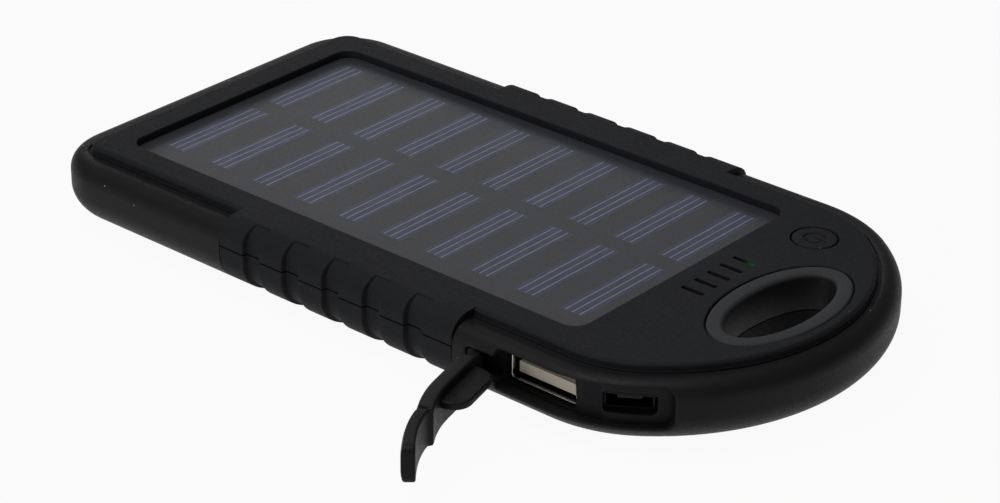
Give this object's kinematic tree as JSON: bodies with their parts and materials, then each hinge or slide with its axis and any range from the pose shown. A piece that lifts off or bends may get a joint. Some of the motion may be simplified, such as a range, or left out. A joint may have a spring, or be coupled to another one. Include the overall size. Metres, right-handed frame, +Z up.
{
  "type": "solar phone charger",
  "caption": "Flat solar power bank with one square and one round end, a soft port flap, ribbed sides, level lights, a press button and an oval carabiner eye.",
  "frame": {"origin": "centre of the base, midway between the ends and between the sides of the closed body", "axes": "+X along the length towards the round end with the carabiner eye, +Y across, away from the ports and the flap, +Z up out of the solar face"},
  "size_m": [0.142, 0.1049, 0.0135],
  "materials": {
    "soft_touch_black": "soft-touch satin",
    "silicone_black": "matt",
    "ring_grey": "satin",
    "cell_blue": "satin",
    "panel_black": "matt",
    "clear_cover": "satin clear",
    "adhesive_white": "matt",
    "light_pipe_clear": "frosted",
    "led_body": "clear",
    "board_green": "satin",
    "bright_metal": "bright",
    "contact_brass": "plated",
    "tongue_cream": "satin",
    "chip_black": "matt",
    "ceramic_tan": "satin",
    "pouch_foil": "satin",
    "foam_grey": "open",
    "lead_red": "satin",
    "lead_black": "satin"
  },
  "bodies": {
    "case": {"upper_shell": "soft_touch_black", "lower_shell": "soft_touch_black", "square_end_bumper": "silicone_black", "round_end_bumper": "silicone_black", "carabiner_ring": "ring_grey", "solar_cells": "cell_blue", "panel_board": "panel_black", "panel_cover": "clear_cover", "panel_tape": "adhesive_white", "light_pipe": "light_pipe_clear", "indicator_leds": "led_body", "main_board": "board_green", "protection_board": "board_green", "tact_switch": "bright_metal", "usb_a_shell": "bright_metal", "micro_usb_shell": "bright_metal", "battery_tabs": "bright_metal", "board_screws": "bright_metal", "case_screws": "bright_metal", "usb_a_contacts": "contact_brass", "usb_a_tongue": "tongue_cream", "micro_usb_tongue": "chip_black", "charge_chip": "chip_black", "boost_chip": "chip_black", "power_inductor": "chip_black", "board_capacitors": "ceramic_tan", "battery_cell": "pouch_foil", "battery_pads": "foam_grey", "battery_lead_positive": "lead_red", "solar_lead_positive": "lead_red", "battery_lead_negative": "lead_black", "solar_lead_negative": "lead_black"},
    "flap": {"port_flap": "silicone_black"},
    "flap_end": {"flap_tip": "silicone_black"},
    "button": {"power_button": "soft_touch_black", "switch_plunger": "chip_black"}
  },
  "joints": [
    {"name": "flap_hinge", "type": "hinge", "parent": "case", "child": "flap", "pos_m": [0.0268, -0.0363, 0.00775], "axis": [0, 0, 1], "range_deg": [-30, 75]},
    {"name": "flap_fold", "type": "hinge", "parent": "flap", "child": "flap_end", "pos_m": [0.03367, -0.05664, 0.00775], "axis": [0, 0, 1], "range_deg": [-30, 17]},
    {"name": "button_press", "type": "slide", "parent": "case", "child": "button", "axis": [0, 0, -1], "range_m": [0, 0.0004], "stiffness_N_per_m": 1500}
  ]
}
